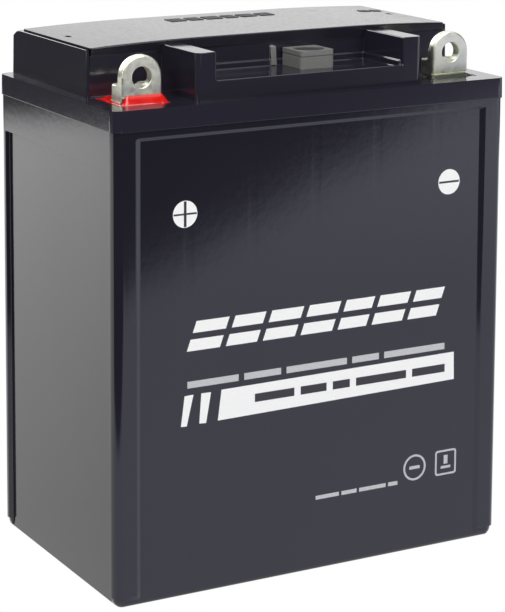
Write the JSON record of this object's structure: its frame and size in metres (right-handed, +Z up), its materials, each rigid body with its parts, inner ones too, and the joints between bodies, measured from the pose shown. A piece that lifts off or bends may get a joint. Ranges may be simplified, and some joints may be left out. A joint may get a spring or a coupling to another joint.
{
  "type": "motorcycle battery",
  "caption": "Upright black motorcycle battery with a raised vented lid block and two upright lug terminals at the front corners.",
  "frame": {"origin": "centre of the underside of the case", "axes": "+Z up, +X along the 134 mm side towards the negative terminal, the terminal side (front) faces -Y"},
  "size_m": [0.134, 0.08, 0.161],
  "materials": {
    "case_plastic": "glossy moulded black with a faint violet cast",
    "cover_plastic": "glossy moulded black",
    "port_plastic": "satin grey",
    "porous_disc": "sintered, matte",
    "lead_alloy": "cast lead alloy, tinned, dull satin",
    "cell_lead": "cast lead, oxidised grey",
    "red_epoxy": "poured epoxy, glossy",
    "black_epoxy": "poured epoxy, glossy",
    "valve_rubber": "matte",
    "positive_paste": "cured lead dioxide paste, dark brown",
    "negative_paste": "sponge lead paste, grey",
    "glass_mat": "white absorbent glass mat"
  },
  "bodies": {
    "battery": {"case": "case_plastic", "lid": "case_plastic", "vent_cover": "cover_plastic", "vent_port": "port_plastic", "flame_arrestor": "porous_disc", "terminal_positive": "lead_alloy", "terminal_negative": "lead_alloy", "seal_positive": "red_epoxy", "seal_negative": "black_epoxy", "post_positive": "cell_lead", "post_negative": "cell_lead", "seal_ring_positive": "valve_rubber", "seal_ring_negative": "valve_rubber", "positive_plates_1": "positive_paste", "negative_plates_1": "negative_paste", "separator_1": "glass_mat", "positive_plates_2": "positive_paste", "negative_plates_2": "negative_paste", "separator_2": "glass_mat", "positive_plates_3": "positive_paste", "negative_plates_3": "negative_paste", "separator_3": "glass_mat", "positive_plates_4": "positive_paste", "negative_plates_4": "negative_paste", "separator_4": "glass_mat", "positive_plates_5": "positive_paste", "negative_plates_5": "negative_paste", "separator_5": "glass_mat", "positive_plates_6": "positive_paste", "negative_plates_6": "negative_paste", "separator_6": "glass_mat", "intercell_connector_1": "cell_lead", "intercell_connector_2": "cell_lead", "intercell_connector_3": "cell_lead", "intercell_connector_4": "cell_lead", "intercell_connector_5": "cell_lead"},
    "valve_1": {"valve_cap_1": "valve_rubber"},
    "valve_2": {"valve_cap_2": "valve_rubber"},
    "valve_3": {"valve_cap_3": "valve_rubber"},
    "valve_4": {"valve_cap_4": "valve_rubber"},
    "valve_5": {"valve_cap_5": "valve_rubber"},
    "valve_6": {"valve_cap_6": "valve_rubber"}
  },
  "joints": [
    {"name": "valve_1_lift", "type": "slide", "parent": "battery", "child": "valve_1", "axis": [0, 0, 1], "range_m": [0, 0.0008]},
    {"name": "valve_2_lift", "type": "slide", "parent": "battery", "child": "valve_2", "axis": [0, 0, 1], "range_m": [0, 0.0008]},
    {"name": "valve_3_lift", "type": "slide", "parent": "battery", "child": "valve_3", "axis": [0, 0, 1], "range_m": [0, 0.0008]},
    {"name": "valve_4_lift", "type": "slide", "parent": "battery", "child": "valve_4", "axis": [0, 0, 1], "range_m": [0, 0.0008]},
    {"name": "valve_5_lift", "type": "slide", "parent": "battery", "child": "valve_5", "axis": [0, 0, 1], "range_m": [0, 0.0008]},
    {"name": "valve_6_lift", "type": "slide", "parent": "battery", "child": "valve_6", "axis": [0, 0, 1], "range_m": [0, 0.0008]}
  ]
}
